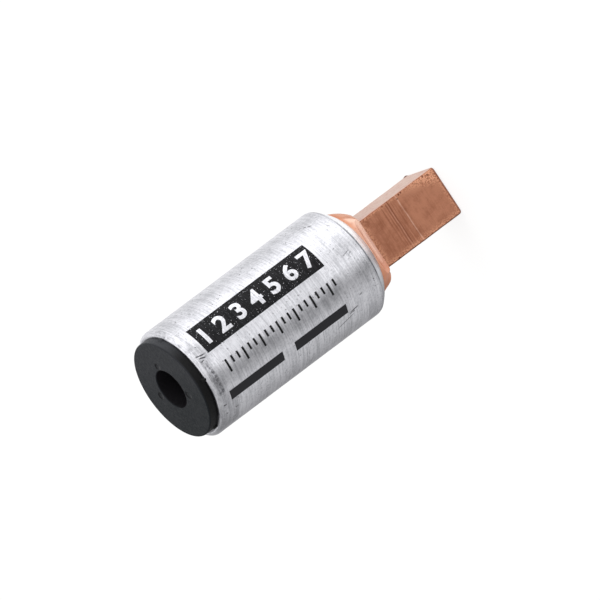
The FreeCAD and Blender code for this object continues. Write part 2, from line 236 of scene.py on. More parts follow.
class Nodes:
    """Nodes of a material or a world, made with short calls. Most return the socket that they make."""

    def __init__(self, owner, output="ShaderNodeOutputMaterial"):
        owner.use_nodes = True
        self.owner = owner
        self.tree = owner.node_tree
        self.tree.nodes.clear()
        self.output = self.node(output)

    def put(self, socket, value):
        """Links a socket to another one, or gives it a constant value."""
        if isinstance(value, bpy.types.NodeSocket):
            self.tree.links.new(value, socket)
        else:
            socket.default_value = (*value, 1) if socket.type == "RGBA" else value

    def node(self, kind, inputs=None, **settings):
        """A new node with its settings, and its inputs by name."""
        node = self.tree.nodes.new(kind)
        for name, value in settings.items():
            setattr(node, name, value)
        for name, value in (inputs or {}).items():
            self.put(node.inputs[name], value)
        return node

    def operate(self, kind, operation, values):
        """A node that works on values given in the order of its inputs."""
        node = self.node(kind, operation=operation)
        for socket, value in zip(node.inputs, values):
            self.put(socket, value)
        return node

    def math(self, operation, *values):
        return self.operate("ShaderNodeMath", operation, values).outputs["Value"]

    def vector_math(self, operation, *values):
        outputs = self.operate("ShaderNodeVectorMath", operation, values).outputs
        return outputs["Value" if operation in ("DISTANCE", "LENGTH") else "Vector"]

    def times(self, first, *others):
        """Product of values."""
        for other in others:
            first = self.math("MULTIPLY", first, other)
        return first

    def most(self, first, *others):
        """The largest of some values."""
        for other in others:
            first = self.math("MAXIMUM", first, other)
        return first

    def sum(self, *terms, plus=0.0):
        """Sum of sockets and a number. Each term is (socket, factor)."""
        total = plus
        for socket, factor in terms:
            total = self.math("MULTIPLY_ADD", socket, factor, total)
        return total

    def apart(self, value, middle):
        """How far a value lies from a number."""
        return self.math("ABSOLUTE", self.math("SUBTRACT", value, middle))

    def place(self):
        """Place on the object, in millimetres."""
        coordinates = self.node("ShaderNodeTexCoord").outputs["Object"]
        return self.vector_math("MULTIPLY", coordinates, (1 / MM,) * 3)

    def parts(self, vector):
        """The X, Y and Z of a vector."""
        outputs = self.node("ShaderNodeSeparateXYZ", {"Vector": vector}).outputs
        return outputs["X"], outputs["Y"], outputs["Z"]

    def away(self, vector, point):
        """Distance from a point."""
        return self.vector_math("DISTANCE", vector, point)

    def off_axis(self, vector):
        """Distance from the part's axis."""
        return self.away(self.vector_math("MULTIPLY", vector, (1, 1, 0)), (0, 0, 0))

    def noise(self, vector, scale, detail=2.0, roughness=0.5, distortion=0.0):
        """Noise with one scale, or with a scale for each direction."""
        if isinstance(scale, tuple):
            vector, scale = self.vector_math("MULTIPLY", vector, scale), 1.0
        inputs = {"Vector": vector, "Scale": scale, "Detail": detail, "Roughness": roughness,
                  "Distortion": distortion}
        return self.node("ShaderNodeTexNoise", inputs).outputs["Fac"]

    def between(self, value, low, high, out_low=0.0, out_high=1.0):
        """The value mapped from one range to another, with soft ends."""
        inputs = {"Value": value, "From Min": low, "From Max": high, "To Min": out_low, "To Max": out_high}
        return self.node("ShaderNodeMapRange", inputs, interpolation_type="SMOOTHSTEP").outputs["Result"]

    def between_two(self, data_type, kind, values):
        """A Mix node on sockets of one kind. The values are a share and two ends."""
        node = self.node("ShaderNodeMix", data_type=data_type)
        ends = [socket for socket in node.inputs if socket.type == kind][-2:]
        for socket, value in zip([node.inputs["Factor"], *ends], values):
            self.put(socket, value)
        return next(socket for socket in node.outputs if socket.type == kind)

    def mix(self, share, first, second):
        """A colour between two colours."""
        return self.between_two("RGBA", "RGBA", (share, first, second))

    def blend(self, share, first, second):
        """A number between two numbers."""
        return self.between_two("FLOAT", "VALUE", (share, first, second))

    def coat(self, colour, *coats):
        """Colours laid over a colour in turn. Each coat is (share, colour)."""
        for share, over in coats:
            colour = self.mix(share, colour, over)
        return colour

    def lines(self, along, marks):
        """Thin soft lines across a direction. Each mark is (place, half width, strength)."""
        total = 0.0
        for place, half_width, strength in marks:
            line = self.between(self.apart(along, place), 0.0, 2 * half_width, strength, 0.0)
            total = self.most(total, line)
        return total

    def bump(self, height, depth_mm):
        return self.node("ShaderNodeBump", {"Height": height, "Distance": depth_mm * MM}).outputs["Normal"]

    def finish(self, colour, roughness, inputs):
        """The surface shader, with its other inputs by name. Returns the material."""
        inputs = {"Base Color": colour, "Roughness": roughness, **inputs}
        surface = self.node("ShaderNodeBsdfPrincipled", inputs)
        self.put(self.output.inputs["Surface"], surface.outputs["BSDF"])
        return self.owner


# Turned aluminium

ALUMINIUM_LIGHT = (0.90, 0.90, 0.945)
ALUMINIUM_DARK = (0.56, 0.565, 0.60)
# Painted shade and highlight of the weld's bevel, for its side towards -X and its side towards +X.
ALUMINIUM_BEVEL_SHADE_TO_HIGHLIGHT = ((0.50, 0.51, 0.54), (0.96, 0.96, 0.98))
PIT_COLOUR = (0.12, 0.12, 0.13)
# Colour of smears and worn zones, also used for painted shade lines and for the painted shadow beside the
# cap.
SMUDGE_AND_SHADE_COLOUR = (0.20, 0.20, 0.22)

# Ranges over which a change of colour comes in: the painted highlight and shade of the weld's bevel, the
# smears below the mouth, and the painted shadow in the corner between the mouth's face and the cap.
BEVEL_HEIGHTS = (BEVEL_TOP, BEVEL_TOP - 0.06)
SMUDGE_HEIGHTS = (MOUTH_HEIGHT - 2.6, MOUTH_HEIGHT - 0.8)
CAP_SHADOW_RADII = (CAP_RADIUS + 0.22, CAP_RADIUS + 0.08)
CAP_SHADOW_HEIGHTS = (MOUTH_HEIGHT - 0.1, MOUTH_HEIGHT - 0.03)

# Painted shade lines in the groove at the bevel's start and in the corner at the weld, strongest about one
# place across the front.
# Each is (height, half width, strength).
SHADE_RINGS = ((BEVEL_TOP + 0.06, 0.11, 1.0), (WELD_HEIGHT + 0.12, 0.10, 0.6))
RING_MIDDLE = 1.0
# Worn zones of the front. Each is (low corner, high corner, strength), with corners across and up.
DARK_ZONES = (((-3.0, 44.25), (1.9, 44.95), 0.95),
              ((3.2, 44.3), (4.4, 44.7), 0.35),
              ((0.8, 24.0), (1.9, 42.5), 0.17),
              ((-7.2, 42.8), (-3.6, 45.3), 0.55))
ZONE_EDGE = (0.6, 0.25)
# Rubbed spots with short dark strokes along the axis. Each is (middle, radius).
SCUFFS = (((2.25, -7.68, 44.4), 1.2), ((2.3, -7.66, 40.9), 0.6),
          ((1.6, -7.84, 19.2), 0.9), ((-3.6, -7.14, 20.4), 0.7))
# Scratches in the wall. Each is (middle, direction, half length, half width).
SCRATCHES = (((-4.75, -6.44, 21.9), (0.22, 0.0, -1.43), 0.85, 0.05),
             ((-4.95, -6.28, 22.3), (0.15, 0.0, -1.43), 0.50, 0.04),
             ((-5.46, -5.85, 23.57), (0.51, -0.48, -3.3), 1.70, 0.03),
             ((2.55, -7.58, 44.5), (-0.22, -0.07, -0.96), 0.75, 0.06),
             ((2.15, -7.71, 44.4), (-0.35, -0.10, -0.96), 0.50, 0.07),
             ((1.80, -7.79, 44.7), (0.15, 0.04, -0.96), 0.30, 0.05),
             ((-4.7, -6.47, 44.8), (0.3, 0.0, 1.0), 0.35, 0.06),
             ((6.95, -3.95, 19.6), (0.4, 0.3, 0.8), 0.35, 0.05),
             ((7.15, -3.58, 20.1), (0.4, 0.3, 0.8), 0.25, 0.05))


def wall_dirt(nodes, place, grain):
    """Share of dirt and painted shade on the barrel: dirty smears and worn zones, painted shade lines at the
    bevel's start and at the weld, and painted shadow in the corner beside the cap.
    """
    between, times = nodes.between, nodes.times
    across, depth, up = nodes.parts(place)
    smear = nodes.noise(place, (0.32, 0.32, 2.2), detail=4, roughness=0.7)
    dirt = times(between(up, *SMUDGE_HEIGHTS), between(smear, 0.48, 0.66, 0.0, 0.55))
    front = between(depth, -1.0, -2.5)
    for low, high, strength in DARK_ZONES:
        zone = front
        for along, start, end, edge in zip((across, up), low, high, ZONE_EDGE):
            zone = times(zone, between(along, start - edge, start), between(along, end + edge, end))
        zone = times(zone, between(smear, 0.36, 0.56, 0.5 * strength, strength),
                     between(grain, 0.42, 0.56, 0.4, 1.0))
        dirt = nodes.most(dirt, zone)
    uneven = times(between(grain, 0.30, 0.55, 0.3, 1.0),
                   between(nodes.apart(across, RING_MIDDLE), 3.0, 6.0, 1.0, 0.35))
    # Painted shade lines in the groove at the bevel's start and at the weld.
    rings = times(nodes.lines(up, SHADE_RINGS), uneven)
    # Painted shadow in the corner between the mouth's face and the cap.
    corner = times(between(nodes.off_axis(place), *CAP_SHADOW_RADII), between(up, *CAP_SHADOW_HEIGHTS))
    return nodes.most(dirt, rings, corner)


def wall_scratches(nodes, place):
    """Scuffs and single scratches of the barrel, 1 on their strokes and 0 elsewhere."""
    between, times = nodes.between, nodes.times
    strokes = nodes.noise(place, (5.0, 5.0, 1.3), detail=3)
    marks = []
    for middle, reach in SCUFFS:
        near = between(nodes.away(place, middle), reach, 0.5 * reach)
        marks.append(times(between(strokes, 0.56, 0.63, 0.0, 0.7), near))
    for middle, direction, half_length, half_width in SCRATCHES:
        offset = nodes.vector_math("SUBTRACT", place, middle)
        off_line = nodes.vector_math("CROSS_PRODUCT", offset, Vector(direction).normalized())
        line = between(nodes.vector_math("LENGTH", off_line), half_width, 2 * half_width, 1.0, 0.0)
        near = between(nodes.away(place, middle), 0.6 * half_length, half_length, 1.0, 0.0)
        marks.append(times(line, near))
    return nodes.most(*marks)


def aluminium_layers(nodes):
    """Colour, roughness and height of the turned aluminium."""
    between, noise = nodes.between, nodes.noise
    place = nodes.place()
    across, _, up = nodes.parts(place)
    lines = noise(place, (0.3, 0.3, 5.6), detail=3, roughness=0.6)
    rings = noise(place, (0.06, 0.06, 1.8), detail=4, roughness=0.65)
    grain = noise(place, 3.0, detail=4, roughness=0.65)
    cloud = noise(place, 0.28, detail=4, roughness=0.6)
    fine = noise(place, 5.0, detail=2)
    tone = nodes.sum((lines, 0.34), (rings, 0.12), (grain, 0.23), (cloud, 0.19), (fine, 0.12))
    colour = nodes.mix(between(tone, 0.39, 0.59), ALUMINIUM_DARK, ALUMINIUM_LIGHT)

    # Painted highlight and shade on the weld's bevel: lighter towards +X, darker towards -X.
    bevel = nodes.times(between(up, *BEVEL_HEIGHTS), between(grain, 0.25, 0.5, 0.5, 1.0))
    bevel_shade_to_highlight = nodes.mix(between(across, -0.4, 1.2), *ALUMINIUM_BEVEL_SHADE_TO_HIGHLIGHT)
    scratch = wall_scratches(nodes, place)
    spots = noise(place, 3.2, detail=3, roughness=0.55)
    cluster = noise(place, 0.45, detail=2)
    pits = nodes.times(between(spots, 0.64, 0.70), between(cluster, 0.46, 0.60))
    colour = nodes.coat(colour, (bevel, bevel_shade_to_highlight), (wall_dirt(nodes, place, grain), SMUDGE_AND_SHADE_COLOUR),
                        (scratch, PIT_COLOUR), (pits, PIT_COLOUR))
    roughness = between(cloud, 0.3, 0.7, 0.30, 0.44)
    height = nodes.sum((lines, 0.9), (grain, 0.5), (pits, -0.6), (scratch, -0.8))
    return colour, roughness, height


def make_aluminium():
    nodes = Nodes(bpy.data.materials.new("turned_aluminium"))
    colour, roughness, height = aluminium_layers(nodes)
    tangent = nodes.node("ShaderNodeTangent", direction_type="RADIAL", axis="Z").outputs[0]
    return nodes.finish(colour, roughness, {
        "Metallic": 1.0, "Anisotropic": 0.5, "Anisotropic Rotation": 0.25, "Tangent": tangent,
        "Normal": nodes.bump(height, 0.032)})


# Machined copper

COPPER_BROWN = (0.37, 0.143, 0.081)
COPPER_WORN = (0.58, 0.255, 0.155)
COPPER_TAN = (0.66, 0.31, 0.195)
COPPER_DARK = (0.17, 0.05, 0.03)
COPPER_SIDE = ((0.64, 0.42, 0.33), (0.77, 0.545, 0.45))
COPPER_ROSE = (0.61, 0.34, 0.26)
COPPER_DOME = ((0.64, 0.30, 0.19), (0.78, 0.42, 0.285))
# Redder copper near the weld, also used for the painted shade on the shoulder's side towards -X.
COPPER_FLANK_AND_SHADE = (0.70, 0.28, 0.15)
# Painted highlight beside a broad face, from its darker to its brighter end.
COPPER_STRIP_HIGHLIGHT = ((0.76, 0.49, 0.40), (0.96, 0.68, 0.55))
# Painted highlight on the bend of the shoulder's front.
COPPER_KNEE_HIGHLIGHT = (1.0, 0.72, 0.59)
COPPER_PINK = (0.92, 0.59, 0.46)
COPPER_ORANGE = (1.0, 0.50, 0.31)
COPPER_RUST = (0.38, 0.11, 0.055)

# Tool marks across the pin's front face. Each is (height, half width, strength).
DARK_LINES = ((13.05, 0.09, 0.45), (9.55, 0.05, 0.25), (9.15, 0.04, 0.25), (8.80, 0.07, 0.55),
              (8.40, 0.08, 0.6), (7.95, 0.05, 0.3), (11.6, 0.05, 0.15))
BRIGHT_LINES = ((6.9, 0.07, 0.6), (8.60, 0.05, 0.2))
# Sides of the broad faces where tarnish gathers. Each is (direction, inner end, outer end, share).
TARNISHED_SIDES = (("across", -2.5, -3.4, 0.6), ("across", 2.9, 3.4, 0.5),
                   ("up", 12.2, 13.1, 0.5), ("up", 1.0, 0.3, 0.6))
# Dark dots along the edges of the front face. Each is (middle, radius).
PIN_DOTS = (((2.95, -3.8, 6.9), 0.10), ((3.30, -3.8, 6.4), 0.14), ((3.35, -3.8, 6.0), 0.12),
            ((3.35, -3.8, 2.1), 0.13), ((3.30, -3.8, 9.3), 0.10), ((-3.35, -3.8, 11.2), 0.12),
            ((3.1, -3.8, 1.4), 0.10))
BURR_PLACE = (3.5, 3.75, 0.45)


def copper_layers(nodes):
    """Places and noises that the colours of the pin share."""
    between, noise = nodes.between, nodes.noise
    place = nodes.place()
    across, depth, up = nodes.parts(place)
    lines = noise(place, (0.22, 0.22, 4.0), detail=5, roughness=0.62)
    blotch = noise(place, 0.7, detail=4, roughness=0.6)
    speck = noise(place, 2.2, detail=5, roughness=0.7)
    fine = noise(place, 5.5, detail=2)
    swirl = noise(place, (3.2, 3.2, 1.5), detail=3, distortion=0.6)
    spotty = nodes.sum((speck, 0.35), (fine, 0.3), (swirl, 0.35))
    worn = between(up, 3.0, 11.5, 1.0, 0.0)
    tooled = nodes.times(between(up, 6.2, 7.2), between(up, 11.0, 9.6))
    streaks = nodes.times(nodes.math("SUBTRACT", lines, 0.5), nodes.blend(tooled, 0.22, 0.55))
    tone = nodes.sum((streaks, 1.0), (blotch, 0.55), (fine, 0.12), (worn, 0.10), plus=0.19)
    return SimpleNamespace(place=place, across=across, depth=depth, up=up, blotch=blotch, speck=speck,
                           fine=fine, spotty=spotty, streaks=streaks, tone=tone)


def tool_marks(nodes, layers):
    """Shares of the dark and of the bright lines on the front face."""
    sway = nodes.noise(layers.place, 0.5)
    along = nodes.sum((layers.up, 1.0), (sway, 0.25), plus=-0.125)
    front = nodes.between(layers.depth, 0.2 - PIN_HALF_THICKNESS, 0.1 - PIN_HALF_THICKNESS)
    patchy = nodes.between(layers.blotch, 0.35, 0.6, 0.5, 1.0)
    return [nodes.times(nodes.lines(along, marks), front, patchy) for marks in (DARK_LINES, BRIGHT_LINES)]


def broad_face_colour(nodes, layers, dark, bright):
    """Brown copper with its tool marks, tarnish along the rim, dark edges and dots."""
    between, times = nodes.between, nodes.times
    across, up = layers.across, layers.up
    colour = nodes.mix(between(layers.tone, 0.36, 0.72), COPPER_BROWN, COPPER_WORN)
    rubbed = times(between(up, 7.0, 4.5, 0.0, 0.6), between(across, 1.4, 3.3))

    diagonal = nodes.sum((across, 1.0), (up, -0.42))
    rim = times(between(up, 6.8, 5.0), between(diagonal, 0.4, 2.4))
    for direction, inner, outer, share in TARNISHED_SIDES:
        rim = nodes.most(rim, between(getattr(layers, direction), inner, outer, 0.0, share))
    tarnish = nodes.noise(layers.place, (6.5, 6.5, 3.6), detail=4, roughness=0.65)
    tarnish = nodes.sum((tarnish, 0.6), (layers.fine, 0.4))
    mottle = times(rim, between(tarnish, 0.43, 0.57, 0.1, 1.0))
    flecks = times(rim, between(tarnish, 0.48, 0.41, 0.0, 0.8))

    edge = nodes.most(between(up, 0.48, 0.24), between(across, -3.34, -3.46),
                      between(across, 3.34, 3.46, 0.0, 0.6))
    edge = times(edge, between(layers.fine, 0.3, 0.6, 0.45, 0.95))
    dots = [between(nodes.away(layers.place, middle), 1.5 * reach, 0.5 * reach, 0.0, 0.9)
            for middle, reach in PIN_DOTS]
    return nodes.coat(colour, (dark, COPPER_DARK), (bright, COPPER_PINK), (rubbed, COPPER_TAN),
                      (mottle, COPPER_ORANGE), (flecks, COPPER_RUST), (edge, COPPER_DARK),
                      *[(dot, COPPER_DARK) for dot in dots])


def narrow_face_colour(nodes, layers):
    """Paler copper with rosy patches and the dark burr at the tip."""
    colour = nodes.mix(nodes.between(layers.tone, 0.35, 0.65), *COPPER_SIDE)
    patches = nodes.sum((layers.spotty, 0.6), (layers.blotch, 0.4))
    return nodes.coat(colour, (nodes.between(patches, 0.44, 0.58, 0.0, 0.8), COPPER_ROSE),
                      (nodes.between(layers.up, 10.5, 13.0, 0.0, 0.35), COPPER_ROSE),
                      (nodes.between(nodes.away(layers.place, BURR_PLACE), 0.6, 0.32), COPPER_DARK))


def shoulder_colour(nodes, layers):
    """Bright copper, with a painted highlight on the narrow band beside a broad face and on the bend of the
    front, redder towards the weld, and painted shade on its side towards -X.
    """
    between, times = nodes.between, nodes.times
    across, spotty = layers.across, layers.spotty
    out = nodes.math("ABSOLUTE", layers.depth)
    # Painted highlight on the narrow band beside each broad face, brighter towards +X.
    strip_highlight = times(between(out, 4.9, 4.2), between(out, 3.7, 3.8), between(spotty, 0.35, 0.55, 0.4, 1.0))
    # Painted highlight on the bend of the shoulder's front, where it slopes away from the pin.
    knee_highlight = times(between(out, 3.98, 4.12), between(out, 4.4, 5.4, 1.0, 0.25),
                 between(across, -3.8, -1.5, 0.4, 1.0), between(across, 3.3, 4.3, 1.0, 0.3))
    welded = times(between(layers.up, WELD_HEIGHT - 0.9, WELD_HEIGHT - 0.2),
                   between(nodes.math("ABSOLUTE", across), 2.5, 5.0, 0.0, 0.8))
    # Painted shade on the shoulder's side towards -X, in the same redder colour as near the weld.
    shaded_low_side = between(across, -0.5, -4.0, 0.0, 0.7)
    colour = nodes.mix(between(layers.tone, 0.40, 0.62), *COPPER_DOME)
    strip_highlight_colour = nodes.mix(between(across, 1.2, 2.8), *COPPER_STRIP_HIGHLIGHT)
    return nodes.coat(colour, (strip_highlight, strip_highlight_colour), (knee_highlight, COPPER_KNEE_HIGHLIGHT),
                      (nodes.most(welded, shaded_low_side), COPPER_FLANK_AND_SHADE),
                      (between(spotty, 0.46, 0.38, 0.0, 0.35), COPPER_WORN))


def make_copper():
    nodes = Nodes(bpy.data.materials.new("machined_copper"))
    layers = copper_layers(nodes)
    dark, bright = tool_marks(nodes, layers)
    sideways = nodes.math("ABSOLUTE", layers.across)
    narrow = nodes.between(sideways, PIN_HALF_WIDTH - 0.05, PIN_HALF_WIDTH - 0.01)
    on_shoulder = nodes.between(layers.up, SHOULDER_FRONT - 0.1, SHOULDER_FRONT + 0.1)
    colour = nodes.coat(broad_face_colour(nodes, layers, dark, bright),
                        (narrow, narrow_face_colour(nodes, layers)),
                        (on_shoulder, shoulder_colour(nodes, layers)))
    roughness = nodes.blend(on_shoulder, nodes.between(layers.speck, 0.3, 0.7, 0.30, 0.44), 0.52)
    height = nodes.sum((layers.streaks, 1.6), (layers.speck, 0.6), (layers.fine, 0.3), (dark, -0.4))
    return nodes.finish(colour, roughness, {"Metallic": 1.0, "Normal": nodes.bump(height, 0.016)})


# Black rubber

RUBBER_DARK = (0.003, 0.003, 0.0035)
RUBBER_FACE = (0.003, 0.006, 0.009)
# Dusty colour of the face, which also carries its painted light towards +X.
RUBBER_DUSTY_AND_LIT = (0.0205, 0.0225, 0.0275)
# Painted highlight beside each moulding mark.
RUBBER_MARK_HIGHLIGHT = (0.085, 0.085, 0.090)
# Painted highlight on the cap's side towards +X.
RUBBER_RIM_HIGHLIGHT = (0.039, 0.041, 0.047)
RUBBER_HOLE = (0.011, 0.010, 0.012)
# Painted highlight on the lower left wall of each moulding mark, as an offset from the mark's centre.
MARK_HIGHLIGHT_OFFSET = (-0.15, -0.25)


def make_rubber():
    """Matt black rubber, darker on its side and in its hole, with a dusty face painted lighter towards +X as
    shading, painted shade and highlights at the moulding marks, and a painted highlight on the side.
    """
    nodes = Nodes(bpy.data.materials.new("cap_rubber_black"))
    between = nodes.between
    place = nodes.place()
    across, _, up = nodes.parts(place)
    grain = nodes.noise(place, 4.0, detail=4, roughness=0.65)
    cloud = nodes.noise(place, 0.5, detail=4, roughness=0.6)
    # Dusty patches at random, plus painted light: the face is painted lighter towards +X.
    dust_and_shading = nodes.sum((across, 0.09), (cloud, 1.2), (grain, 0.6))
    face = nodes.mix(between(dust_and_shading, 0.4, 1.4), RUBBER_FACE, RUBBER_DUSTY_AND_LIT)
    for x, y in MARK_PLACES:
        wall = nodes.apart(nodes.away(place, (x, y, CAP_FACE_HEIGHT)), MARK_RADIUS)
        # Painted shade along the wall of each moulding mark, and a painted highlight on one side of that
        # wall.
        shade = between(wall, 0.14, 0.03, 0.0, 0.85)
        lit = nodes.away(place, (x + MARK_HIGHLIGHT_OFFSET[0], y + MARK_HIGHLIGHT_OFFSET[1], CAP_FACE_HEIGHT))
        mark_highlight = nodes.times(between(lit, 0.38, 0.14, 0.0, 0.8), between(grain, 0.44, 0.54))
        face = nodes.coat(face, (shade, RUBBER_DARK), (mark_highlight, RUBBER_MARK_HIGHLIGHT))
    in_hole = between(nodes.off_axis(place), HOLE_RADIUS + 0.6, HOLE_RADIUS + 0.3)
    on_face = between(up, CAP_FACE_HEIGHT - 0.22, CAP_FACE_HEIGHT - 0.03)
    # Painted highlight on the side towards +X.
    side = nodes.mix(between(across, 3.0, 6.2), RUBBER_DARK, RUBBER_RIM_HIGHLIGHT)
    colour = nodes.coat(side, (in_hole, RUBBER_HOLE), (on_face, face))
    roughness = between(grain, 0.3, 0.7, 0.42, 0.62)
    return nodes.finish(colour, roughness, {"Specular IOR Level": 0.2, "Normal": nodes.bump(grain, 0.04)})


# Printing ink

INK_BLACK = (0.005, 0.005, 0.006)
INK_GREY = (0.024, 0.024, 0.028)


def make_ink():
    """Black ink, faded in streaks and on the left, with worn spots that show the metal on the right."""
    nodes = Nodes(bpy.data.materials.new("print_ink"))
    metal, metal_roughness, height = aluminium_layers(nodes)
    place = nodes.place()
    across = nodes.parts(place)[0]
    holes = nodes.noise(place, 5.6, detail=3, roughness=0.55)
    streak = nodes.noise(place, (0.5, 0.5, 6.0), detail=3, roughness=0.6)
    worn = nodes.times(nodes.between(holes, 0.66, 0.70), nodes.between(across, -1.0, 2.0))
    faded = nodes.most(nodes.between(streak, 0.35, 0.7, 0.0, 0.7), nodes.between(across, -1.0, -3.0))
    colour = nodes.coat(INK_BLACK, (faded, INK_GREY), (worn, metal))
    return nodes.finish(colour, nodes.blend(worn, 0.45, metal_roughness), {
        "Metallic": worn, "Specular IOR Level": 0.14, "Normal": nodes.bump(height, 0.010)})


# Aluminium barrel

BARREL_STEPS = 300
WALL_SPACING = 0.15
# The weld's bevel bulges and ends in a groove, a little above its edge.
BEVEL_CROWN = 0.85
GROOVE_DEPTH = 0.1
GROOVE_HEIGHT = 0.06
RANDOM = np.random.default_rng(SEED)
DENT_COUNT = 46
NICK_COUNT = 60
# Waves left by the turning. Each is (length, height, phase).
TURNING_WAVES = [(7.3, 0.004, 0.4), (3.1, 0.003, 2.1), (1.7, 0.0022, 4.0), (0.9, 0.0014, 1.2)]
# Dents all round the wall and nicks at the mouth. Each is (place, height, radius, depth), and places
# are measured round the wall from the front towards +X.
WALL_DENTS = [(RANDOM.uniform(-25, 25), RANDOM.uniform(18, 44),
               RANDOM.uniform(0.3, 1.1), RANDOM.uniform(0.006, 0.03)) for _ in range(DENT_COUNT)]
MOUTH_NICKS = [(RANDOM.uniform(-25, 25), MOUTH_HEIGHT - RANDOM.uniform(0.1, 1.2),
                RANDOM.uniform(0.18, 0.45), RANDOM.uniform(0.02, 0.07)) for _ in range(NICK_COUNT)]


def wall_height(points):
    """How far the barrel's real wall stands off its true cylinder: waves, dents and nicks."""
    across = np.arctan2(points[..., 0], -points[..., 1]) * BARREL_RADIUS
    along = points[..., 2]
    turn = 2 * pi * BARREL_RADIUS
    marks = np.zeros_like(across)
    for place, height, radius, depth in WALL_DENTS + MOUTH_NICKS:
        off = (across - place + turn / 2) % turn - turn / 2
        marks -= depth * np.exp(-(off ** 2 + (along - height) ** 2) / radius ** 2)
    return ripple(along, TURNING_WAVES) + marks


def make_barrel(material):
    drill_point = BORE_BOTTOM - BORE_RADIUS / tan(radians(DRILL_ANGLE / 2))
    outline = section([
        (0, WELD_HEIGHT, 0, 3.3),
        (WELD_RADIUS, WELD_HEIGHT, 0.04, 0.12),
        (WELD_RADIUS + BEVEL_CROWN, (WELD_HEIGHT + BEVEL_TOP) / 2, 0.8, 0.12),
        (BARREL_RADIUS - GROOVE_DEPTH / 2, BEVEL_TOP - 0.05, 0.05, 0.05),
        (BARREL_RADIUS - GROOVE_DEPTH, BEVEL_TOP + GROOVE_HEIGHT, 0.03, 0.05),
        (BARREL_RADIUS, BEVEL_TOP + 3 * GROOVE_HEIGHT, 0.05, WALL_SPACING),
        (BARREL_RADIUS, MOUTH_HEIGHT - MOUTH_CHAMFER, 0.12, 0.1),
        (BARREL_RADIUS - MOUTH_CHAMFER, MOUTH_HEIGHT, 0.1, 0.2),
        (SEAT_RADIUS, MOUTH_HEIGHT, 0.08, 1.1),
        (SEAT_RADIUS, SEAT_BOTTOM, 0.05, 0.6),
        (BORE_RADIUS, SEAT_BOTTOM, 0.08, 2.0),
        (BORE_RADIUS, BORE_BOTTOM, 0.1, 1.0),
        (0, drill_point, 0, 1),
    ])
    angles = np.linspace(0, 2 * pi, BARREL_STEPS, endpoint=False)
    points = turned(outline, angles)
    outside = off_axis(points) > WELD_RADIUS + 0.1
    points = raised(points, wall_height(points) * outside)
    piece = ring_mesh("barrel_turned", points, material)
    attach(piece, "root")
    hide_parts("barrel")


# Copper pin

# Rounding of the pin's long edges, which are worn rounder up to a height above the tip.
PIN_CORNER = 0.12
TIP_CORNER = 0.42
TIP_CORNER_HEIGHT = 1.1
PIN_SIDE_STEPS = 60
PIN_SPACING = 0.08
TIP_FACE_RINGS = 22
TIP_ROUND_RINGS = 8
WELD_FACE_SHARES = (0.97, 0.5, 0)
# Sharpness of the shoulder's crease beside the pin and of the bend between its two slopes, per mm.
CREASE_SHARPNESS = 30
KNEE_SHARPNESS = 3.5
HALVINGS = 40
FRONT_POINTS = 40
DOME_POINTS = 26
PIN_WAVES = [(5.3, 0.006, 0.3), (2.3, 0.004, 1.9), (0.9, 0.0025, 4.4)]
# Burr at the tip, swelling of the shoulder and the hollow beside it. Each is (middle, radius, height).
PIN_BUMPS = ((BURR_PLACE, 0.34, 0.15),
             ((-5.05, -2.53, 13.65), 0.85, 0.23),
             ((-4.2, -3.3, 13.25), 0.45, -0.1))


def pin_outline(rounding=PIN_CORNER):
    """Section of the square pin with softened corners, from +X towards +Y. Points repeat nowhere."""
    half_size = np.array([PIN_HALF_WIDTH, PIN_HALF_THICKNESS])
    corners = [half_size * signs for signs in ((1, -1), (1, 1), (-1, 1), (-1, -1))]
    points = []
    for number, corner in enumerate(corners):
        after = corners[(number + 1) % 4]
        points += list(fillet(corners[number - 1], corner, after, rounding))
        start = points[-1]
        end = after - unit(after - corner) * rounding
        points += [start + (end - start) * n / PIN_SIDE_STEPS for n in range(1, PIN_SIDE_STEPS)]
    return np.array(points)


def tip_outline(height):
    """The pin's section at a height: its corners are worn rounder towards the tip."""
    share = max(0, 1 - height / TIP_CORNER_HEIGHT) ** 2
    return pin_outline(PIN_CORNER + (TIP_CORNER - PIN_CORNER) * share)


def front_height(radius, steepness):
    """Height of the shoulder's front: level beside the pin, then two slopes beyond a broad face.
    steepness is the share of the radius that leads away from that face."""
    slope = 1 / tan(radians(RUNOUT_ANGLE))
    relief = 1 / tan(radians(RELIEF_ANGLE))
    beyond = radius * steepness - PIN_HALF_THICKNESS
    steep = slope * np.logaddexp(0, beyond * CREASE_SHARPNESS) / CREASE_SHARPNESS
    flatter = RUNOUT_HEIGHT + relief * (beyond - RUNOUT_HEIGHT / slope)
    lower = -np.logaddexp(-steep * KNEE_SHARPNESS, -flatter * KNEE_SHARPNESS) / KNEE_SHARPNESS
    return SHOULDER_FRONT + lower


def dome_points(turns):
    """Points of the dome's arc at angles from the axis: (radius, height)."""
    return np.stack([BALL_RADIUS * np.sin(turns), BALL_HEIGHT - BALL_RADIUS * np.cos(turns)], -1)


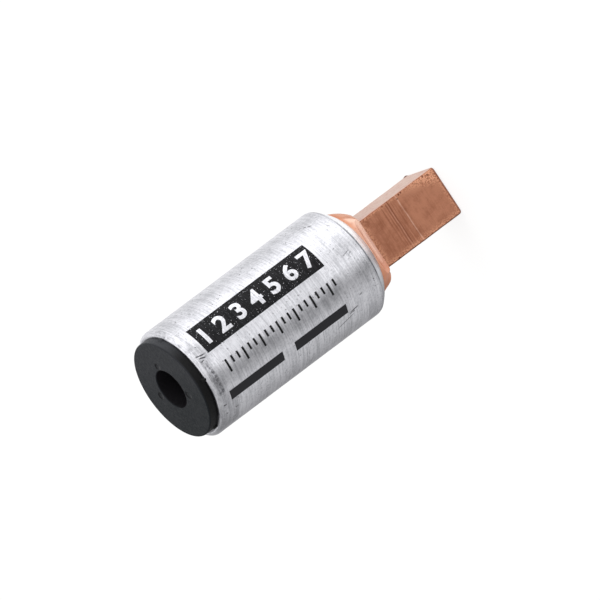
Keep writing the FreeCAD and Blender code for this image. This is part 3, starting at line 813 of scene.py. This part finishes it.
def shoulder_section(direction, inner):
    """The shoulder's section at one angle, from the pin's side out to the weld: (radius, height).
    A front, found to end where it meets the dome, a rounded edge, then the dome."""
    steepness = abs(direction[1])
    low, high = inner, WELD_RADIUS
    for _ in range(HALVINGS):
        middle = (low + high) / 2
        dome_height = BALL_HEIGHT - sqrt(BALL_RADIUS ** 2 - middle ** 2)
        low, high = (middle, high) if front_height(middle, steepness) > dome_height else (low, middle)
    edge = np.array([low, front_height(low, steepness)])

    inside = low - SHOULDER_ROUND
    before = np.array([inside, front_height(inside, steepness)])
    after = dome_points(asin(low / BALL_RADIUS) + 0.05)
    arc = fillet(before, edge, after, SHOULDER_ROUND, 6)
    radii = np.linspace(inner, arc[0][0], FRONT_POINTS)[:-1]
    front = np.stack([radii, front_height(radii, steepness)], -1)
    start = atan2(arc[-1][0], BALL_HEIGHT - arc[-1][1])
    end = asin(WELD_RADIUS / BALL_RADIUS)
    return np.concatenate([front, arc, dome_points(np.linspace(start, end, DOME_POINTS)[1:])])


def pin_height(points):
    """How far the pin's real surface stands off its true form: faint waves and a few bumps."""
    straight = (points[..., 2] > TIP_ROUND) & (points[..., 2] < SHOULDER_FRONT)
    total = ripple(points[..., 2], PIN_WAVES) * straight
    for middle, radius, height in PIN_BUMPS:
        away = np.linalg.norm(points - np.array(middle), axis=-1)
        total += height * np.exp(-(away / radius) ** 2)
    return total


def level(ring, height):
    """A flat ring of points at a height."""
    return np.column_stack([ring, np.full(len(ring), height)])


def pin_rings():
    """Rings of points from the middle of the tip's face out, up the pin and over the shoulder."""
    rings = []
    for share in np.linspace(0, 1, TIP_FACE_RINGS)[:-1]:
        rings.append(level(tip_outline(0) * share * (1 - TIP_ROUND / PIN_HALF_WIDTH), 0))
    for turn in np.linspace(0, pi / 2, TIP_ROUND_RINGS):
        inset = TIP_ROUND * (1 - sin(turn))
        scale = np.array([1 - inset / PIN_HALF_WIDTH, 1 - inset / PIN_HALF_THICKNESS])
        height = TIP_ROUND * (1 - cos(turn))
        rings.append(level(tip_outline(height) * scale, height))
    count = round((SHOULDER_FRONT - TIP_ROUND) / PIN_SPACING)
    for height in np.linspace(TIP_ROUND, SHOULDER_FRONT, count + 1)[1:-1]:
        rings.append(level(tip_outline(height), height))

    outline = pin_outline()
    reach = np.linalg.norm(outline, axis=-1, keepdims=True)
    directions = outline / reach
    shoulder = np.array([shoulder_section(d, r) for d, r in zip(directions, reach[:, 0])])
    places = np.concatenate([directions[:, None] * shoulder[..., :1], shoulder[..., 1:]], -1)
    rings += list(places.swapaxes(0, 1))
    rings += [level(directions * WELD_RADIUS * share, WELD_HEIGHT) for share in WELD_FACE_SHARES]
    return np.array(rings)


def make_pin(material):
    points = pin_rings()
    piece = ring_mesh("pin_copper", raised(points, pin_height(points)), material)
    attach(piece, "root")
    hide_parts("copper_pin")


# Rubber cap

CAP_STEPS = 400
NUB_RADIUS = 0.33
NUB_HEIGHT = 0.4
# Nubs left by the mould. Each is (angle, reach).
NUBS = ((-161.0, 0.24), (-93.0, 0.45), (-26.0, 0.28))
# How far the hole and the flange lie off centre, and the radii where these shifts end and start.
HOLE_SHIFT = 0.24
HOLE_SHIFT_END = 4.2
FLANGE_SHIFT = 0.09
FLANGE_SHIFT_START = 4.6
# Finer steps round the nubs and the marks. Each is (degrees to both sides, step).
NUB_STEPS = (4, 0.3)
MARK_STEPS = (10, 0.5)
MARK_SOFTNESS = 0.03
# A point this far off a surface still counts as on it.
SLACK = 0.01


def mark_height(points):
    """How far the round moulding marks sink the cap's face, as negative heights."""
    total = np.zeros(points.shape[:2])
    on_face = points[..., 2] > CAP_FACE_HEIGHT - SLACK
    for x, y in MARK_PLACES:
        off = off_axis(points - np.array([x, y, 0]))
        total -= MARK_DEPTH * on_face / (1 + np.exp((off - MARK_RADIUS) / MARK_SOFTNESS))
    return total


def nub_reach(points):
    """How far the moulding nubs stand out of the flange's side."""
    total = np.zeros(points.shape[:2])
    turn = np.arctan2(points[..., 1], points[..., 0])
    radius = off_axis(points)
    side = (radius > CAP_RADIUS - SLACK) & (points[..., 2] < MOUTH_HEIGHT + NUB_HEIGHT)
    for angle, reach in NUBS:
        off = ((turn - radians(angle) + pi) % (2 * pi) - pi) * CAP_RADIUS
        total += reach * np.sqrt(np.maximum(1 - (off / NUB_RADIUS) ** 2, 0)) * side
    return total


def off_centre(points):
    """How far the moulding left the hole and the flange towards +X."""
    radius = off_axis(points)
    inner = np.clip((HOLE_SHIFT_END - radius) / (HOLE_SHIFT_END - HOLE_RADIUS), 0, 1)
    outer = np.clip(radius - FLANGE_SHIFT_START, 0, 1) * (points[..., 2] > MOUTH_HEIGHT - SLACK)
    return HOLE_SHIFT * inner + FLANGE_SHIFT * outer


def cap_angles():
    """Even steps round the cap, with finer ones at the nubs and the marks."""
    turns = [np.linspace(0, 360, CAP_STEPS, endpoint=False)]
    for (reach, step), angles in ((NUB_STEPS, [angle for angle, _ in NUBS]), (MARK_STEPS, MARK_ANGLES)):
        turns += [np.arange(angle - reach, angle + reach, step) for angle in angles]
    return np.radians(np.unique(np.round(np.concatenate(turns) % 360, 2)))


def make_cap(material):
    stem = SEAT_RADIUS - STEM_CLEARANCE
    outline = section([
        (HOLE_RADIUS, STEM_END_HEIGHT, 0.1, 0.3),
        (stem - STEM_LEAD, STEM_END_HEIGHT, 0.05, 0.3),
        (stem, STEM_END_HEIGHT + STEM_LEAD, 0.05, 0.5),
        (stem, MOUTH_HEIGHT, 0.05, 0.5),
        (CAP_RADIUS, MOUTH_HEIGHT, 0.05, 0.08),
        (CAP_RADIUS, CAP_FACE_HEIGHT, CAP_EDGE_ROUND, 0.07),
        (HOLE_RADIUS, CAP_FACE_HEIGHT, 0.1, 0.15),
    ], closed=True)
    points = turned(outline, cap_angles())
    shift = off_centre(points)
    points = raised(points, mark_height(points) + nub_reach(points), wrap=True)
    points[..., 0] += shift
    piece = ring_mesh("cap_moulded", points, material, wrap=True)
    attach(piece, "root")
    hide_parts("sealing_cap")


# Print on the barrel. Depths are measured from the cable mouth, angles from the front towards +X.

INK_THICKNESS = 0.02
INK_SINK = 0.04
INK_STEP = 1.0
# Each plate is (from depth, to depth, from angle, to angle).
BAND = (2.3, 22.9, 16.0, 46.6)
DASHES = ((2.0, 11.4, -35.3, -25.6), (13.55, 22.65, -35.3, -25.6))
RULER_ANGLES = (-10.9, 2.1)
RULER_START = 3.6
RULER_COUNT = 20
RULER_STROKE = 0.3
SHORT_TICK = 0.55
NUMERAL_STEP = 3
NUMERAL_HEIGHT = 2.6
NUMERAL_WIDTH = 1.08
NUMERAL_CUT = 0.25
NUMERAL_LIFT = 0.012
NUMERAL_BOLDNESS = 0.03
SHARP_ANGLE = 50


def on_wall(depth, degrees, lift):
    """Points on the barrel's real wall, lifted by a height."""
    angle = np.radians(degrees)
    direction = np.stack([np.sin(angle), -np.cos(angle)], -1)
    flat = np.concatenate([direction * BARREL_RADIUS, (MOUTH_HEIGHT - depth)[..., None]], -1)
    radius = BARREL_RADIUS + wall_height(flat) + lift
    return np.concatenate([direction * radius[..., None], flat[..., 2:]], -1)


def patch(depth_from, depth_to, degrees_from, degrees_to):
    """A closed thin plate of ink on the wall, as points and faces."""
    across = max(2, ceil((degrees_to - degrees_from) / INK_STEP))
    along = max(2, ceil((depth_to - depth_from) / WALL_SPACING))
    depths = np.linspace(depth_from, depth_to, along + 1)
    turns = np.linspace(degrees_from, degrees_to, across + 1)
    depth, degrees = np.meshgrid(depths, turns, indexing="ij")
    top = on_wall(depth, degrees, INK_THICKNESS)
    bottom = on_wall(depth, degrees, -INK_SINK)
    size = depth.size
    index = np.arange(size).reshape(depth.shape)
    faces = []
    for offset, grid in ((0, index), (size, index[::-1])):
        corner = np.stack([grid[:-1, :-1], grid[1:, :-1], grid[1:, 1:], grid[:-1, 1:]], -1) + offset
        faces += corner.reshape(-1, 4).tolist()
    rim = np.concatenate([index[0, :-1], index[:-1, -1], index[-1, :0:-1], index[:0:-1, 0]])
    other = np.roll(rim, -1)
    faces += np.stack([rim, other, other + size, rim + size], -1).tolist()
    return np.concatenate([top.reshape(-1, 3), bottom.reshape(-1, 3)]), faces


def number_mesh(number):
    """A number in Blender's plain font, as a closed plate in the font's units."""
    curve = bpy.data.curves.new("numeral", "FONT")
    curve.body = str(number)
    curve.align_x = "CENTER"
    curve.extrude = 0.5
    curve.offset = NUMERAL_BOLDNESS
    holder = add_object("numeral", curve)
    bpy.context.view_layer.update()
    graph = bpy.context.evaluated_depsgraph_get()
    mesh = bpy.data.meshes.new_from_object(holder.evaluated_get(graph))
    bpy.data.objects.remove(holder)
    bpy.data.curves.remove(curve)
    work = bmesh.new()
    work.from_mesh(mesh)
    bpy.data.meshes.remove(mesh)
    bmesh.ops.remove_doubles(work, verts=work.verts, dist=1e-5)
    return work


def cut_in_strips(work, direction, reach):
    """Cuts a plate across a direction at even steps, so that it can follow the wall."""
    for offset in np.arange(-reach + NUMERAL_CUT / 2, reach, NUMERAL_CUT):
        everything = work.verts[:] + work.edges[:] + work.faces[:]
        point = [float(offset) * part for part in direction]
        bmesh.ops.bisect_plane(work, geom=everything, dist=1e-6, plane_co=point, plane_no=direction)


def numeral_plate(number, depth):
    """A number laid on the black band at a depth from the cable mouth, as points and faces.
    On the flat plate X runs along the line, Y up the number, and Z is positive on the outer side."""
    work = number_mesh(number)
    low = min(vertex.co.y for vertex in work.verts)
    high = max(vertex.co.y for vertex in work.verts)
    grow = NUMERAL_HEIGHT / (high - low)
    for vertex in work.verts:
        vertex.co.x *= grow * NUMERAL_WIDTH
        vertex.co.y = (vertex.co.y - (low + high) / 2) * grow
    cut_in_strips(work, (1, 0, 0), NUMERAL_HEIGHT)
    cut_in_strips(work, (0, 1, 0), NUMERAL_HEIGHT / 2)
    bmesh.ops.triangulate(work, faces=work.faces)
    work.verts.index_update()
    along, across, out = np.array([vertex.co[:] for vertex in work.verts]).T
    faces = [tuple(vertex.index for vertex in face.verts) for face in work.faces]
    work.free()
    degrees = (BAND[2] + BAND[3]) / 2 + np.degrees(across / BARREL_RADIUS)
    lift = np.where(out > 0, INK_THICKNESS + NUMERAL_LIFT, -INK_SINK)
    return on_wall(depth + along, degrees, lift), faces


def join_patches(name, patches, material):
    """One piece from several plates."""
    places, faces, start = [], [], 0
    for points, plate in patches:
        places.append(points)
        faces += [tuple(corner + start for corner in face) for face in plate]
        start += len(points)
    piece = make_object(name, np.concatenate(places), faces, material)
    piece.data.set_sharp_from_angle(angle=radians(SHARP_ANGLE))
    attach(piece, "root")
    return piece


def make_print(ink, metal):
    join_patches("print_band", [patch(*BAND)], ink)
    join_patches("print_dashes", [patch(*dash) for dash in DASHES], ink)
    low, high = RULER_ANGLES
    ticks, numbers = [], []
    for step in range(RULER_COUNT):
        depth = RULER_START + step
        start, end = depth - RULER_STROKE / 2, depth + RULER_STROKE / 2
        if step % NUMERAL_STEP == 0:
            numbers.append(numeral_plate(1 + step // NUMERAL_STEP, depth))
            ticks.append(patch(start, end, low, high))
        else:
            ticks.append(patch(start, end, high - (high - low) * SHORT_TICK, high))
    join_patches("print_ruler", ticks, ink)
    numerals = join_patches("print_numerals", numbers, metal)


# Floor, light and camera, with sizes in metres

VIEW_AZIMUTH = 8.0
VIEW_TILT = 64.5
VIEW_ROLL = 36.9
VIEW_DISTANCE = 3.0
FRAME_WIDTH = 0.07726
WELD_OFFSET = (-0.00635, -0.00541)
SENSOR_WIDTH = 36.0

FLOOR_SIZE = 6
FLOOR_STEPS = 40
FLOOR_COLOURS = ((0.24, 0.24, 0.24), (0.27, 0.27, 0.27))
FLOOR_GLOW = 0.82


def make_floor():
    """Pale paper that lights nothing and shows in no reflection."""
    bpy.ops.mesh.primitive_grid_add(x_subdivisions=FLOOR_STEPS, y_subdivisions=FLOOR_STEPS, size=FLOOR_SIZE)
    floor = bpy.context.object
    floor.name = "floor"
    nodes = Nodes(bpy.data.materials.new("floor_paper"))
    colour = nodes.mix(nodes.noise(nodes.place(), 0.02, detail=3), *FLOOR_COLOURS)
    paper = nodes.finish(colour, 0.9, {"Emission Color": (1, 1, 1), "Emission Strength": FLOOR_GLOW})
    floor.data.materials.append(paper)
    floor.visible_glossy = False
    floor.visible_diffuse = False
    floor.visible_shadow = False


# Strength of the light all round. Each is (angle from the picture's middle, strength).
LIGHT_ROUND = [(-180, 1.0), (-168, 0.6), (-152, 0.36), (-133, 0.45), (-112, 0.64), (-93, 0.72), (-80, 0.72),
               (-69, 0.96), (-58, 0.64), (-48, 0.42), (-38, 0.32), (-29, 0.32), (-21, 0.42), (-13, 1.02),
               (-5, 1.95), (4, 1.28), (16, 1.00), (28, 1.12), (40, 1.43), (54, 1.80), (66, 1.95), (80, 1.85),
               (92, 1.55), (104, 1.23), (120, 1.06), (142, 1.14), (160, 1.2), (180, 1.0)]
LIGHT_TOP = 1.2
LIGHT_BELOW = 1.4
LIGHT_BEHIND = 1.25
LIGHT_SCALE = 2.0


def make_world():
    """Soft light all round, brighter on the upper left of the picture, as in a light tent."""
    world = bpy.data.worlds.new("studio")
    bpy.context.scene.world = world
    nodes = Nodes(world, "ShaderNodeOutputWorld")
    right, back, up = nodes.parts(nodes.node("ShaderNodeTexCoord").outputs["Generated"])
    turn = nodes.math("ARCTAN2", right, nodes.times(back, -1.0))
    turn = nodes.math("SUBTRACT", turn, radians(VIEW_AZIMUTH))
    share = nodes.math("FRACT", nodes.math("ADD", nodes.math("DIVIDE", turn, 2 * pi), 0.5))
    ramp = nodes.node("ShaderNodeValToRGB", {"Fac": share})
    stops = ramp.color_ramp.elements
    for number, (degrees, value) in enumerate(LIGHT_ROUND):
        place = (degrees + 180) / 360
        stop = stops[number] if number < len(stops) else stops.new(place)
        stop.position = place
        stop.color = (value / LIGHT_SCALE,) * 3 + (1,)
    side = nodes.times(ramp.outputs["Color"], LIGHT_SCALE)
    strength = nodes.blend(nodes.between(up, 0.88, 0.99), side, LIGHT_TOP)
    strength = nodes.blend(nodes.between(up, -0.9, -0.65, 1.0, 0.0), strength, LIGHT_BELOW)
    seen = nodes.node("ShaderNodeLightPath").outputs["Is Camera Ray"]
    strength = nodes.blend(seen, strength, LIGHT_BEHIND)
    background = nodes.node("ShaderNodeBackground", {"Strength": strength})
    nodes.put(nodes.output.inputs["Surface"], background.outputs["Background"])


def make_camera():
    """Long lens at the photo's viewing angle, rolled so that the pin points up to the right."""
    azimuth, tilt, roll = (radians(a) for a in (VIEW_AZIMUTH, VIEW_TILT, VIEW_ROLL))
    forward = Vector((sin(azimuth), -cos(azimuth), 0))
    side = Vector((cos(azimuth), sin(azimuth), 0))
    down = Vector((0, 0, -1))
    along = sin(tilt) * down + cos(tilt) * forward
    back = -cos(tilt) * down + sin(tilt) * forward
    right = cos(roll) * along - sin(roll) * side
    up = sin(roll) * along + cos(roll) * side
    centre = Vector((0, 0, WELD_HEIGHT * MM)) + WELD_OFFSET[0] * right + WELD_OFFSET[1] * up

    data = bpy.data.cameras.new("photo_view")
    data.sensor_width = SENSOR_WIDTH
    data.lens = SENSOR_WIDTH * VIEW_DISTANCE / FRAME_WIDTH
    data.clip_start = 0.05
    data.clip_end = 20.0
    camera = add_object("photo_view", data)
    turn = Matrix((right, up, back)).transposed().to_4x4()
    camera.matrix_world = Matrix.Translation(centre + back * VIEW_DISTANCE) @ turn
    bpy.context.scene.camera = camera


bpy.context.scene.view_settings.view_transform = "Standard"
make_camera()
make_world()
make_floor()
aluminium = make_aluminium()
make_barrel(aluminium)
make_pin(make_copper())
make_cap(make_rubber())
make_print(make_ink(), aluminium)
